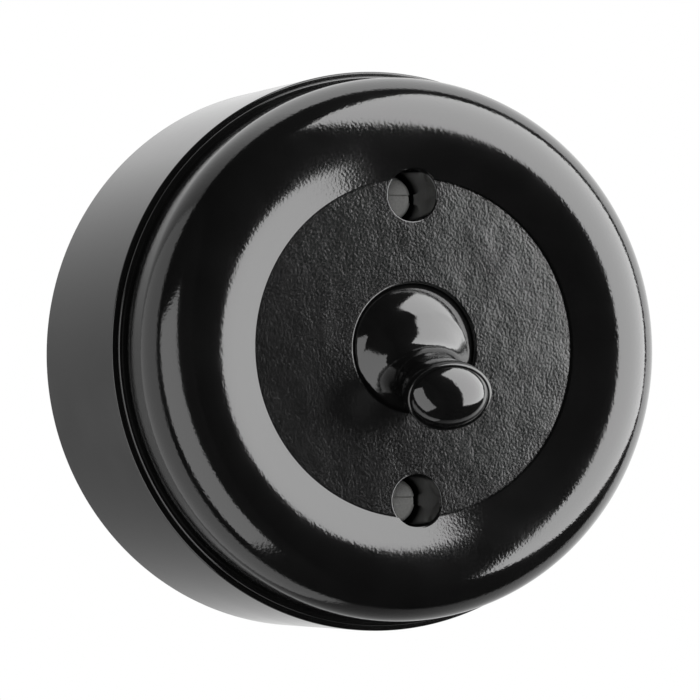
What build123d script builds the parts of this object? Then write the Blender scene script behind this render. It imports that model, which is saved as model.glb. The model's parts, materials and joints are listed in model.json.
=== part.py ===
from build123d import *
import os
from math import cos, radians, sin, sqrt

# Surface-mounted round toggle light switch: a moulded drum housing on the wall, a moulded cover
# with a raised ring, and inside them a porcelain switch insert worked by a ball lever.
# Millimetres. X is right, Z is up and the front faces -Y. The wall face is at y = 0, and
# every depth below is measured from it towards the front.

# Housing
HOUSING_DIAMETER = 82.0
HOUSING_DEPTH = 32.2
HOUSING_DRAFT = 0.15
HOUSING_WALL = 3.2
BACK_THICKNESS = 3.0
BACK_LAND_WIDTH = 6.0
BACK_RECESS = 0.8
SHOULDER_WIDTH = 0.75
LIP_HEIGHT = 1.0
HOUSING_ROUND = 0.3
WALL_SCREW_PITCH = 60.0
WALL_SCREW_HOLE = 4.5
WALL_SCREW_SLOT = 8.0
CABLE_HOLE = 18.0
BOSS_DIAMETER = 9.0
RIB_THICKNESS = 2.4
RIB_DROP = 1.0

# Cover
COVER_INSET = 0.85
SEAM_WIDTH = 1.0
SEAM_GROOVE = 0.5
COVER_HEIGHT = 13.5
RING_HEIGHT = 1.9
RIM_RADIUS = 8.2
CREASE_DIAMETER = 48.8
COVER_WALL = 2.6
COVER_ROUND = 0.3
SKIRT_LENGTH = 2.0
SKIRT_THICKNESS = 1.2
SKIRT_CLEARANCE = 0.3
OPENING_DIAMETER = 18.6
OPENING_ROUND = 0.2
COVER_SCREW_PITCH = 43.9
COVER_SCREW_RECESS = 7.4
COVER_BOSS_DIAMETER = 11.4
COVER_BOSS_FLOOR = 1.8
COVER_BOSS_GAP = 0.3

# Lever: distances along it are from the centre of its ball
BALL_DIAMETER = 23.4
BALL_REAR = 0.8
BALL_GAP = 0.25
PIVOT_BELOW_FACE = 7.9
LEVER_TILT = 19.0
LEVER_OVAL = 1.276
NECK_FOOT = 8.0
NECK_HALF_HEIGHT = 3.75
NECK_PLACE = 12.9
FOOT_FLARE = 2.5
FLARE_PLACE = 17.4
HEAD_SWELL = 0.8
HEAD_HALF_HEIGHT = 5.0
HEAD_PLACE = 22.3
BEAD_WIDTH = 0.36
BEAD_STEP = 0.14
DOME_HEIGHT = 3.2
TONGUE_WIDTH = 6.2
LEVER_PIN_DIAMETER = 2.5
SPRING_BORE = 3.9
SPRING_BORE_END = 2.2
SWING_MARGIN = 3.0

# Plunger and its spring
PLUNGER_BODY_LENGTH = 3.2
PLUNGER_TIP_DIAMETER = 2.8
PLUNGER_REACH = 2.6
SPRING_WIRE = 0.45
SPRING_TURNS = 5.0

# Bearing bracket
EAR_THICKNESS = 1.2
EAR_WIDTH = 4.8
FLANGE_THICKNESS = 1.2
FLANGE_WIDTH = 23.0
FLANGE_GAP = 0.3
BRACKET_RIVET_SPREAD = 18.6

# Porcelain base
BASE_GAP = 1.5
BUSH_GAP = 0.75
BASE_CORNER = 4.0
BASE_DEPTH = 23.9
BASE_ROUND = 0.4
FLOOR_THICKNESS = 3.4
WELL_WIDTH = 14.0
WELL_HEIGHT = 26.0

# Support ring and its screws
RING_THICKNESS = 1.5
RING_CLEARANCE = 0.8
INSERT_DROP = 1.2
RING_BORDER = 4.5
INSERT_SCREW_INSET = 5.5
INSERT_SCREW_DIAMETER = 3.2
INSERT_SLOT_LENGTH = 8.0
BUSH_DIAMETER = 5.2
BUSH_LENGTH = 8.0
COVER_BUSH_DIAMETER = 6.4
COVER_BUSH_LENGTH = 4.0
RIVET_DIAMETER = 2.4
RIVET_HEAD = 3.6
RIVET_HEAD_HEIGHT = 0.8
RIVET_INSET = 3.0

# Screws
COVER_SCREW_DIAMETER = 3.4
COVER_SCREW_HEAD = 6.6
COVER_SCREW_HEAD_HEIGHT = 2.2
COVER_SCREW_REACH = 0.6
INSERT_SCREW_HEAD = 6.4
INSERT_SCREW_HEAD_HEIGHT = 2.2
SLOT_WIDTH = 1.2
SLOT_DEPTH = 1.1

# Rocker and contacts: the rocker swings to each side of the middle
ROCKER_TILT = 12.0
ROCKER_WIDTH = 9.0
ROCKER_HUB = 6.0
ROCKER_LENGTH = 20.0
WING_THICKNESS = 2.6
CRADLE_WIDTH = 5.5
HORN_WIDTH = 1.9
HORN_HEIGHT = 9.8
CRADLE_HEIGHT = 7.7
ROCKER_PIN_DIAMETER = 2.0
STRIP_THICKNESS = 0.8
STRIP_WIDTH = 5.0
BRIDGE_LENGTH = 21.2
CONTACT_PLACE = 9.0
TIP_DIAMETER = 3.0
TIP_HEIGHT = 0.9
FIXED_TIP_HEIGHT = 0.935
TIP_ROUND = 0.35
CONTACT_GAP = 0.15

# Terminals
TERMINAL_SIZE = 7.4
TERMINAL_HEIGHT = 10.8
TERMINAL_WALL = 4.5
WIRE_BORE = 3.4
WIRE_HEIGHT = 4.5
WIRE_NOTCH_WIDTH = 4.4
TERMINAL_SCREW_DIAMETER = 3.0
TERMINAL_SCREW_HEAD = 5.0
TERMINAL_SCREW_HEAD_HEIGHT = 1.8

# Clearances
FIT = 0.02
RUNNING = 0.05
LOOSE = 0.3
CRADLE_GAP = 0.2

# Derived places, housing and cover
housing_radius = HOUSING_DIAMETER / 2
lip_radius = housing_radius - SHOULDER_WIDTH
lip_depth = HOUSING_DEPTH + LIP_HEIGHT
face_depth = lip_depth + COVER_HEIGHT
base_front = lip_depth - INSERT_DROP
base_back = base_front - BASE_DEPTH
cavity_radius = housing_radius - HOUSING_WALL
cover_radius = lip_radius - COVER_INSET
cover_rear = lip_depth + SEAM_WIDTH
seat_radius = cover_radius - SEAM_GROOVE
skirt_radius = cavity_radius - SKIRT_CLEARANCE
skirt_inner = skirt_radius - SKIRT_THICKNESS
support_radius = skirt_inner - RING_CLEARANCE
insert_x = support_radius - INSERT_SCREW_INSET
base_width = 2 * (insert_x - BASE_GAP) - BOSS_DIAMETER
base_height = COVER_SCREW_PITCH - COVER_BUSH_DIAMETER - 2 * BUSH_GAP
window_width = base_width - 2 * RING_BORDER
window_height = base_height - 2 * RING_BORDER
flange_height = window_height - 2 * FLANGE_GAP
ring_top = face_depth + RING_HEIGHT
ring_radius = cover_radius - RIM_RADIUS
rim_depth = ring_top - RIM_RADIUS
crease_radius = CREASE_DIAMETER / 2
face_under = face_depth - COVER_WALL
ball_radius = BALL_DIAMETER / 2
pivot_depth = face_depth - PIVOT_BELOW_FACE
opening_radius = OPENING_DIAMETER / 2
ring_front = base_front + RING_THICKNESS
cover_boss_end = ring_front + COVER_BOSS_GAP
screw_seat = cover_boss_end + COVER_BOSS_FLOOR

# Derived places, insert
well_floor = base_back + FLOOR_THICKNESS
strip_front = well_floor + STRIP_THICKNESS
rocker_sin = sin(radians(ROCKER_TILT))
rocker_cos = cos(radians(ROCKER_TILT))
wing_rear = -ROCKER_HUB / 2
bridge_rear = wing_rear - STRIP_THICKNESS
tip_end = bridge_rear - TIP_HEIGHT
tip_reach = CONTACT_PLACE * rocker_sin - tip_end * rocker_cos
tip_lean = (TIP_DIAMETER / 2 - TIP_ROUND) * rocker_sin + TIP_ROUND * (1 - rocker_cos)
fixed_front = strip_front + FIXED_TIP_HEIGHT
fixed_z = CONTACT_PLACE * rocker_cos + tip_end * rocker_sin
rocker_depth = fixed_front + CONTACT_GAP + tip_lean + tip_reach
tip_radius = PLUNGER_TIP_DIAMETER / 2
tip_centre = pivot_depth - rocker_depth - CRADLE_HEIGHT
tip_distance = tip_centre + tip_radius
tail_length = tip_distance - PLUNGER_REACH
ear_inner = TONGUE_WIDTH / 2 + LOOSE
ear_outer = ear_inner + EAR_THICKNESS
saddle_inner = ROCKER_WIDTH / 2 + LOOSE
saddle_outer = saddle_inner + STRIP_THICKNESS
pocket_size = TERMINAL_SIZE + 2 * LOOSE
terminal_x = base_width / 2 - TERMINAL_WALL - pocket_size / 2
terminal_front = strip_front + TERMINAL_HEIGHT
wire_depth = strip_front + WIRE_HEIGHT
terminal_spots = [(-terminal_x, CONTACT_PLACE), (-terminal_x, -CONTACT_PLACE)]
terminal_spots += [(terminal_x, -CONTACT_PLACE)]
cover_screw_spots = [(0, COVER_SCREW_PITCH / 2), (0, -COVER_SCREW_PITCH / 2)]
insert_screw_spots = [(insert_x, 0), (-insert_x, 0)]
wall_screw_spots = [(0, WALL_SCREW_PITCH / 2), (0, -WALL_SCREW_PITCH / 2)]
bracket_rivet_spots = [(BRACKET_RIVET_SPREAD / 2, 0), (-BRACKET_RIVET_SPREAD / 2, 0)]
ring_rivet_x = base_width / 2 - RIVET_INSET
ring_rivet_z = base_height / 2 - RIVET_INSET
ring_rivet_spots = [(x, z) for x in (-ring_rivet_x, ring_rivet_x) for z in (-ring_rivet_z, ring_rivet_z)]

FROM_BASE = (Align.CENTER, Align.CENTER, Align.MIN)


def front_plane(depth, x=0.0, z=0.0):
    """Plane that faces the front at a depth from the wall, with its own x right and y up."""
    return Plane(origin=(x, -depth, z), x_dir=(1, 0, 0), z_dir=(0, -1, 0))


def side_plane(depth, tilt):
    """Plane x = 0 whose own x points to the front, turned down by a tilt, and whose y points up."""
    return Plane(origin=(0, -depth, 0), x_dir=(0, -cos(radians(tilt)), -sin(radians(tilt))), z_dir=(-1, 0, 0))


def cross_plane(depth, x):
    """Plane across the object at a place in x, facing right, for pins and their bores."""
    return Plane(origin=(x, -depth, 0), x_dir=(0, 1, 0), z_dir=(1, 0, 0))


def rods(diameter, start, end, spots, mode=Mode.ADD):
    """Cylinders from one depth to another at each spot."""
    with Locations(*[front_plane(start, x, z) for x, z in spots]):
        Cylinder(diameter / 2, end - start, align=FROM_BASE, mode=mode)


def pin(diameter, depth, left, right, mode=Mode.ADD):
    """Cylinder along x at a depth on the middle plane."""
    with Locations(cross_plane(depth, left)):
        Cylinder(diameter / 2, right - left, align=FROM_BASE, mode=mode)


def drive_slots(front, head, spots):
    """Screwdriver slots across the heads of screws."""
    with Locations(*[front_plane(front - SLOT_DEPTH, x, z) for x, z in spots]):
        Box(head, SLOT_WIDTH, 2 * SLOT_DEPTH, align=FROM_BASE, mode=Mode.SUBTRACT)


def rims(builder, radius):
    """Circular edges of one radius, from front to back."""
    circles = builder.edges().filter_by(GeomType.CIRCLE)
    return circles.filter_by(lambda e: abs(e.radius - radius) < FIT).sort_by(Axis.Y)


def save(builder, name):
    """Label a finished piece and write it."""
    builder.part.label = name
    export_step(builder.part, f"parts/{name}.step")


# Housing: a drum with a stepped front edge and a back wall that bears on the wall at its rim
with BuildPart() as housing:
    with BuildSketch(Plane.XY):
        with BuildLine():
            Polyline(
                (0, -BACK_RECESS),
                (housing_radius - BACK_LAND_WIDTH, -BACK_RECESS),
                (housing_radius - BACK_LAND_WIDTH, 0),
                (housing_radius + HOUSING_DRAFT, 0),
                (housing_radius, -HOUSING_DEPTH),
                (lip_radius, -HOUSING_DEPTH),
                (lip_radius, -lip_depth),
                (cavity_radius, -lip_depth),
                (cavity_radius, -BACK_THICKNESS),
                (0, -BACK_THICKNESS),
                close=True,
            )
        make_face()
    revolve(axis=Axis.Y)
    fillet(rims(housing, lip_radius) + rims(housing, housing_radius), HOUSING_ROUND)
    fillet(rims(housing, housing_radius + HOUSING_DRAFT), HOUSING_ROUND)
    rods(BOSS_DIAMETER, BACK_THICKNESS, base_front, insert_screw_spots)
    rib_length = cavity_radius + HOUSING_WALL / 2 - insert_x
    with BuildSketch(front_plane(BACK_THICKNESS)):
        with Locations((insert_x + rib_length / 2, 0), (-insert_x - rib_length / 2, 0)):
            Rectangle(rib_length, RIB_THICKNESS)
    extrude(amount=lip_depth - SKIRT_LENGTH - RIB_DROP - BACK_THICKNESS)
    bush_pocket = base_front - BUSH_LENGTH - LOOSE
    rods(BUSH_DIAMETER + 2 * FIT, bush_pocket, base_front, insert_screw_spots, Mode.SUBTRACT)
    with BuildSketch(front_plane(0)):
        Circle(CABLE_HOLE / 2)
        with Locations(*wall_screw_spots):
            SlotOverall(WALL_SCREW_SLOT, WALL_SCREW_HOLE, rotation=90)
    extrude(amount=BACK_THICKNESS, mode=Mode.SUBTRACT)
save(housing, "housing")

# Threaded brass bushes in the housing's bosses
with BuildPart() as housing_inserts:
    insert_end = base_front - BUSH_LENGTH
    thread_bore = INSERT_SCREW_DIAMETER + 2 * FIT
    rods(BUSH_DIAMETER, insert_end, base_front, insert_screw_spots)
    rods(thread_bore, insert_end, base_front, insert_screw_spots, Mode.SUBTRACT)
save(housing_inserts, "housing_inserts")

# Cover: side wall and half-round ring, dropping at a sharp crease to the recessed flat face, whose
# opening is hollowed behind for the lever's ball
with BuildPart() as cover:
    with BuildSketch(Plane.XY):
        with BuildLine():
            side = Line((cover_radius, -cover_rear), (cover_radius, -rim_depth))
            rim = TangentArc(side @ 1, (ring_radius, -ring_top), tangent=(0, -1))
            flank = TangentArc(rim @ 1, (crease_radius, -face_depth), tangent=(-1, 0))
            mouth = Polyline(flank @ 1, (opening_radius, -face_depth), (opening_radius, -face_under))
            under = Line(mouth @ 1, (crease_radius, -face_under))
            hollow = TangentArc((ring_radius, -(ring_top - COVER_WALL)), under @ 1, tangent=(-1, 0))
            bend = TangentArc(hollow @ 0, (cover_radius - COVER_WALL, -rim_depth), tangent=(1, 0))
            Polyline(
                bend @ 1,
                (cover_radius - COVER_WALL, -lip_depth),
                (skirt_inner, -lip_depth),
                (skirt_inner, -(lip_depth - SKIRT_LENGTH)),
                (skirt_radius, -(lip_depth - SKIRT_LENGTH)),
                (skirt_radius, -lip_depth),
                (seat_radius, -lip_depth),
                (seat_radius, -cover_rear),
                side @ 0,
            )
        make_face()
    revolve(axis=Axis.Y)
    fillet(rims(cover, cover_radius)[-1], COVER_ROUND)
    fillet(rims(cover, opening_radius)[0], OPENING_ROUND)
    with Locations(cross_plane(pivot_depth, 0)):
        Sphere(ball_radius + BALL_GAP, mode=Mode.SUBTRACT)
    rods(COVER_BOSS_DIAMETER, cover_boss_end, face_under + FIT, cover_screw_spots)
    rods(COVER_SCREW_RECESS, screw_seat, ring_top, cover_screw_spots, Mode.SUBTRACT)
    rods(COVER_SCREW_DIAMETER + LOOSE, cover_boss_end, screw_seat, cover_screw_spots, Mode.SUBTRACT)
save(cover, "cover")

# Slotted cover screws at the bottom of their recesses
with BuildPart() as cover_screws:
    screw_end = base_front - COVER_BUSH_LENGTH - COVER_SCREW_REACH
    rods(COVER_SCREW_DIAMETER, screw_end, screw_seat, cover_screw_spots)
    screw_head = screw_seat + COVER_SCREW_HEAD_HEIGHT
    rods(COVER_SCREW_HEAD, screw_seat, screw_head, cover_screw_spots)
    head_edges = cover_screws.edges().filter_by(GeomType.CIRCLE).group_by(Axis.Y)[0]
    fillet(head_edges, COVER_SCREW_HEAD_HEIGHT / 3)
    drive_slots(screw_head, COVER_SCREW_HEAD, cover_screw_spots)
save(cover_screws, "cover_screws")

# Lever: an oval handle on a ball that is flat behind, with slots for the bearing ears and a bored tail
lever_dir = (0, -cos(radians(LEVER_TILT)), -sin(radians(LEVER_TILT)))
lever_pivot = (0, -pivot_depth, 0)
lever_section = Plane(
    origin=lever_pivot, x_dir=(1, 0, 0), z_dir=(0, sin(radians(LEVER_TILT)), -cos(radians(LEVER_TILT)))
)
tail_plane = Plane(origin=lever_pivot, x_dir=(1, 0, 0), z_dir=tuple(-v for v in lever_dir))
swing = radians(LEVER_TILT + SWING_MARGIN)
slot_half = EAR_WIDTH / 2 + LOOSE
slot_root = Vector(slot_half * sin(swing), slot_half * cos(swing))
slot_end = slot_root + Vector(-BALL_DIAMETER * cos(swing), BALL_DIAMETER * sin(swing))
with BuildPart() as toggle_lever:
    with BuildSketch(lever_section):
        with BuildLine():
            foot = (NECK_HALF_HEIGHT + FOOT_FLARE, NECK_FOOT)
            flare_end = (HEAD_HALF_HEIGHT - HEAD_SWELL, FLARE_PLACE)
            neck = ThreePointArc(foot, (NECK_HALF_HEIGHT, NECK_PLACE), flare_end)
            head = TangentArc(neck @ 1, (HEAD_HALF_HEIGHT, HEAD_PLACE), tangent=neck % 1)
            bead_top = (HEAD_HALF_HEIGHT - BEAD_WIDTH, HEAD_PLACE + BEAD_WIDTH)
            bead = TangentArc(head @ 1, bead_top, tangent=(0, 1))
            dome_edge = bead @ 1 - Vector(BEAD_STEP / 2, BEAD_STEP, 0)
            Line(bead @ 1, dome_edge)
            dome = TangentArc((0, HEAD_PLACE + DOME_HEIGHT), dome_edge, tangent=(1, 0))
            Polyline(dome @ 0, (0, NECK_FOOT), foot)
        make_face()
    revolve(axis=Axis(lever_pivot, lever_dir))
    scale(by=(LEVER_OVAL, 1, 1), about=lever_pivot)
    with Locations(cross_plane(pivot_depth, 0)):
        Sphere(ball_radius)
    with Locations(tail_plane.offset(BALL_REAR)):
        Box(BALL_DIAMETER, BALL_DIAMETER, BALL_DIAMETER, align=FROM_BASE, mode=Mode.SUBTRACT)
    with Locations(tail_plane):
        Cylinder(TONGUE_WIDTH / 2, tail_length, align=FROM_BASE)
    for slot_side in (-1, 1):
        slot_middle = slot_side * (ear_inner + EAR_THICKNESS / 2)
        slot_plane = side_plane(pivot_depth, LEVER_TILT).offset(-slot_middle)
        with BuildSketch(slot_plane):
            Circle(slot_half)
            with BuildLine():
                upper_edge = Line(slot_root, slot_end)
                lower_edge = mirror(upper_edge, about=Plane.XZ)
                Line(upper_edge @ 0, lower_edge @ 0)
                Line(upper_edge @ 1, lower_edge @ 1)
            make_face()
        extrude(amount=EAR_THICKNESS / 2 + LOOSE, both=True, mode=Mode.SUBTRACT)
    pin(LEVER_PIN_DIAMETER + 2 * RUNNING, pivot_depth, -BALL_DIAMETER, BALL_DIAMETER, Mode.SUBTRACT)
    with Locations(tail_plane.offset(SPRING_BORE_END)):
        Cylinder(SPRING_BORE / 2, tail_length, align=FROM_BASE, mode=Mode.SUBTRACT)
save(toggle_lever, "toggle_lever")

# Axle of the lever, held in the bracket's ears
with BuildPart() as lever_pin:
    pin(LEVER_PIN_DIAMETER, pivot_depth, -ear_outer, ear_outer)
save(lever_pin, "lever_pin")

# Plunger with a round tip, sliding in the lever's tail
body_end = tail_length - LOOSE
body_start = body_end - PLUNGER_BODY_LENGTH
with BuildPart() as lever_plunger:
    with Locations(tail_plane.offset(body_start)):
        Cylinder(SPRING_BORE / 2 - RUNNING, PLUNGER_BODY_LENGTH, align=FROM_BASE)
    with Locations(tail_plane.offset(body_end)):
        Cylinder(tip_radius, tip_distance - tip_radius - body_end, align=FROM_BASE)
    with Locations(tail_plane.offset(tip_distance - tip_radius)):
        Sphere(tip_radius)
save(lever_plunger, "lever_plunger")

# Coil spring between the end of the bore and the plunger
spring_length = body_start - SPRING_BORE_END - SPRING_WIRE - 2 * RUNNING
spring_radius = SPRING_BORE / 2 - SPRING_WIRE / 2 - 2 * RUNNING
spring_plane = tail_plane.offset(SPRING_BORE_END + SPRING_WIRE / 2 + RUNNING)
with BuildPart() as plunger_spring:
    with BuildLine():
        coil = Helix(
            spring_length / SPRING_TURNS,
            spring_length,
            spring_radius,
            center=spring_plane.origin,
            direction=spring_plane.z_dir,
        )
    with BuildSketch(Plane(origin=coil @ 0, z_dir=coil % 0)):
        Circle(SPRING_WIRE / 2)
    sweep(path=coil, is_frenet=True)
save(plunger_spring, "plunger_spring")

# Bearing bracket: a pierced flange with two ears bent up beside the lever's tail
with BuildPart() as bearing_bracket:
    with BuildSketch(front_plane(base_front)):
        RectangleRounded(FLANGE_WIDTH, flange_height, EAR_THICKNESS * 2)
        Rectangle(2 * ear_inner, flange_height - 4 * EAR_THICKNESS, mode=Mode.SUBTRACT)
    extrude(amount=FLANGE_THICKNESS)
    for ear_side in (-1, 1):
        ear_plane = side_plane(0, 0).offset(-ear_side * (ear_inner + EAR_THICKNESS / 2))
        with BuildSketch(ear_plane):
            with Locations(((base_front + pivot_depth) / 2, 0)):
                Rectangle(pivot_depth - base_front, EAR_WIDTH)
            with Locations((pivot_depth, 0)):
                Circle(EAR_WIDTH / 2)
        extrude(amount=EAR_THICKNESS / 2, both=True)
    pin(LEVER_PIN_DIAMETER + 2 * FIT, pivot_depth, -ear_outer, ear_outer, Mode.SUBTRACT)
    flange_front = base_front + FLANGE_THICKNESS
    rods(RIVET_DIAMETER + 2 * FIT, base_front, flange_front, bracket_rivet_spots, Mode.SUBTRACT)
save(bearing_bracket, "bearing_bracket")


def rivets(front, spots):
    """Through rivets with a head at the front and one behind the base."""
    rods(RIVET_DIAMETER, base_back, front, spots)
    rods(RIVET_HEAD, front, front + RIVET_HEAD_HEIGHT, spots)
    rods(RIVET_HEAD, base_back - RIVET_HEAD_HEIGHT, base_back, spots)


# Rivets that hold the bracket to the base
with BuildPart() as bracket_rivets:
    rivets(flange_front, bracket_rivet_spots)
    fillet(bracket_rivets.edges().filter_by(GeomType.CIRCLE).group_by(Axis.Y)[0], RIVET_HEAD_HEIGHT / 2)
save(bracket_rivets, "bracket_rivets")

# Rivets that hold the support ring to the base
with BuildPart() as ring_rivets:
    rivets(ring_front, ring_rivet_spots)
    fillet(ring_rivets.edges().filter_by(GeomType.CIRCLE).group_by(Axis.Y)[0], RIVET_HEAD_HEIGHT / 2)
save(ring_rivets, "ring_rivets")

# Porcelain base: a rounded block with a well for the rocker and a pocket for each terminal
channel_width = STRIP_WIDTH + 2 * LOOSE
with BuildPart() as porcelain_base:
    with BuildSketch(front_plane(base_back)):
        RectangleRounded(base_width, base_height, BASE_CORNER)
    extrude(amount=base_front - base_back)
    fillet(porcelain_base.edges().group_by(Axis.Y)[-1], BASE_ROUND)
    fillet(porcelain_base.edges().group_by(Axis.Y)[0], BASE_ROUND)
    with BuildSketch(front_plane(well_floor)):
        Rectangle(WELL_WIDTH, WELL_HEIGHT)
        with Locations(*terminal_spots):
            Rectangle(pocket_size, pocket_size)
        with Locations(*[(x / 2, z) for x, z in terminal_spots]):
            Rectangle(terminal_x, channel_width)
    extrude(amount=base_front - well_floor, mode=Mode.SUBTRACT)
    notch_floor = wire_depth - WIRE_NOTCH_WIDTH / 2
    with BuildSketch(front_plane(notch_floor)):
        with Locations(*[(x + x / 2, z) for x, z in terminal_spots]):
            Rectangle(terminal_x, WIRE_NOTCH_WIDTH)
    extrude(amount=base_front - notch_floor, mode=Mode.SUBTRACT)
    base_rivet_spots = ring_rivet_spots + bracket_rivet_spots
    rods(RIVET_DIAMETER + 2 * FIT, base_back, base_front, base_rivet_spots, Mode.SUBTRACT)
save(porcelain_base, "porcelain_base")

# Support ring: a pressed steel disc with a window for the insert and slots for its screws
with BuildPart() as support_ring:
    with BuildSketch(front_plane(base_front)):
        Circle(support_radius)
        RectangleRounded(window_width, window_height, BASE_CORNER, mode=Mode.SUBTRACT)
        with Locations(*insert_screw_spots):
            slot_width = INSERT_SCREW_DIAMETER + 2 * LOOSE
            SlotOverall(INSERT_SLOT_LENGTH, slot_width, rotation=90, mode=Mode.SUBTRACT)
    extrude(amount=RING_THICKNESS)
    neck_diameter = COVER_BUSH_DIAMETER - RING_THICKNESS
    rods(neck_diameter + 2 * FIT, base_front, ring_front, cover_screw_spots, Mode.SUBTRACT)
    rods(RIVET_DIAMETER + 2 * FIT, base_front, ring_front, ring_rivet_spots, Mode.SUBTRACT)
save(support_ring, "support_ring")

# Threaded bushes pressed into the support ring for the cover screws
with BuildPart() as cover_bushes:
    rods(COVER_BUSH_DIAMETER, base_front - COVER_BUSH_LENGTH, base_front, cover_screw_spots)
    rods(neck_diameter, base_front, ring_front, cover_screw_spots)
    bush_end = base_front - COVER_BUSH_LENGTH
    rods(COVER_SCREW_DIAMETER + 2 * FIT, bush_end, ring_front, cover_screw_spots, Mode.SUBTRACT)
save(cover_bushes, "cover_bushes")

# Screws that fix the support ring to the housing's bosses
with BuildPart() as insert_screws:
    rods(INSERT_SCREW_DIAMETER, insert_end, ring_front, insert_screw_spots)
    insert_head = ring_front + INSERT_SCREW_HEAD_HEIGHT
    rods(INSERT_SCREW_HEAD, ring_front, insert_head, insert_screw_spots)
    fillet(insert_screws.edges().filter_by(GeomType.CIRCLE).group_by(Axis.Y)[0], INSERT_SCREW_HEAD_HEIGHT / 2)
    drive_slots(insert_head, INSERT_SCREW_HEAD, insert_screw_spots)
save(insert_screws, "insert_screws")

# Rocker: a hub with two wings and a round cradle that the plunger rides in.
# Seen from the rocker, the plunger's tip follows an arc, found from its middle and end places.
rocker_plane = side_plane(rocker_depth, -ROCKER_TILT)
end_up = tip_centre * sin(radians(LEVER_TILT))
end_out = pivot_depth - tip_centre * cos(radians(LEVER_TILT)) - rocker_depth
end_z = end_up * rocker_cos - end_out * rocker_sin
end_h = end_up * rocker_sin + end_out * rocker_cos
path_radius = (end_z**2 + (end_h - CRADLE_HEIGHT) ** 2) / (2 * (end_h - CRADLE_HEIGHT))
cradle_radius = path_radius + tip_radius + CRADLE_GAP
cradle_centre = CRADLE_HEIGHT + path_radius
horn_inner = sqrt(cradle_radius**2 - (cradle_centre - HORN_HEIGHT) ** 2)
horn_outer = horn_inner + HORN_WIDTH
with BuildPart() as rocker:
    with BuildSketch(rocker_plane):
        Circle(ROCKER_HUB / 2)
        with Locations((wing_rear + WING_THICKNESS / 2, 0)):
            Rectangle(WING_THICKNESS, ROCKER_LENGTH)
    extrude(amount=ROCKER_WIDTH / 2, both=True)
    with BuildSketch(rocker_plane):
        with BuildLine():
            Polyline(
                (wing_rear, -ROCKER_LENGTH / 2),
                (wing_rear + WING_THICKNESS, -ROCKER_LENGTH / 2),
                (HORN_HEIGHT, -horn_outer),
                (HORN_HEIGHT, horn_outer),
                (wing_rear + WING_THICKNESS, ROCKER_LENGTH / 2),
                (wing_rear, ROCKER_LENGTH / 2),
                close=True,
            )
        make_face()
        with Locations((cradle_centre, 0)):
            Circle(cradle_radius, mode=Mode.SUBTRACT)
    extrude(amount=CRADLE_WIDTH / 2, both=True)
    pin(ROCKER_PIN_DIAMETER + 2 * RUNNING, rocker_depth, -ROCKER_WIDTH, ROCKER_WIDTH, Mode.SUBTRACT)
save(rocker, "rocker")

# Axle of the rocker, held in the saddle's ears
with BuildPart() as rocker_pin:
    pin(ROCKER_PIN_DIAMETER, rocker_depth, -saddle_outer, saddle_outer)
save(rocker_pin, "rocker_pin")

# Copper strip on the back of the rocker
bridge_plane = Plane(origin=rocker_plane.origin, x_dir=(1, 0, 0), z_dir=rocker_plane.x_dir)
with BuildPart() as contact_bridge:
    with BuildSketch(bridge_plane.offset(bridge_rear)):
        RectangleRounded(STRIP_WIDTH, BRIDGE_LENGTH, STRIP_WIDTH / 4)
    extrude(amount=STRIP_THICKNESS)
save(contact_bridge, "contact_bridge")

# Contact rivets at the two ends of the strip
with BuildPart() as bridge_tips:
    with BuildSketch(bridge_plane.offset(bridge_rear - TIP_HEIGHT)):
        with Locations((0, CONTACT_PLACE), (0, -CONTACT_PLACE)):
            Circle(TIP_DIAMETER / 2)
    extrude(amount=TIP_HEIGHT)
    rocker_axis = Axis(rocker_plane.origin, rocker_plane.x_dir)
    fillet(bridge_tips.edges().filter_by(GeomType.CIRCLE).group_by(rocker_axis)[0], TIP_ROUND)
save(bridge_tips, "bridge_tips")

# Strips on the base's floor: the fixed contacts lie under the rocker's tips
strip_inner = TIP_DIAMETER / 2 + LOOSE
strip_length = terminal_x + TERMINAL_SIZE / 2 + strip_inner


def contact_strip(z):
    """Flat strip on the floor of the base, from under a terminal to its contact."""
    with Locations(front_plane(well_floor, strip_inner - strip_length / 2, z)):
        Box(strip_length, STRIP_WIDTH, STRIP_THICKNESS, align=FROM_BASE)


# Fixed contact that is closed with the lever down
with BuildPart() as upper_contact:
    contact_strip(CONTACT_PLACE)
save(upper_contact, "upper_contact")

# Fixed contact that is closed with the lever up
with BuildPart() as lower_contact:
    contact_strip(-CONTACT_PLACE)
save(lower_contact, "lower_contact")

# Contact rivets on the fixed strips
with BuildPart() as fixed_tips:
    rods(TIP_DIAMETER, strip_front, fixed_front, [(0, fixed_z), (0, -fixed_z)])
    fillet(fixed_tips.edges().filter_by(GeomType.CIRCLE).group_by(Axis.Y)[0], TIP_ROUND)
save(fixed_tips, "fixed_tips")

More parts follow.
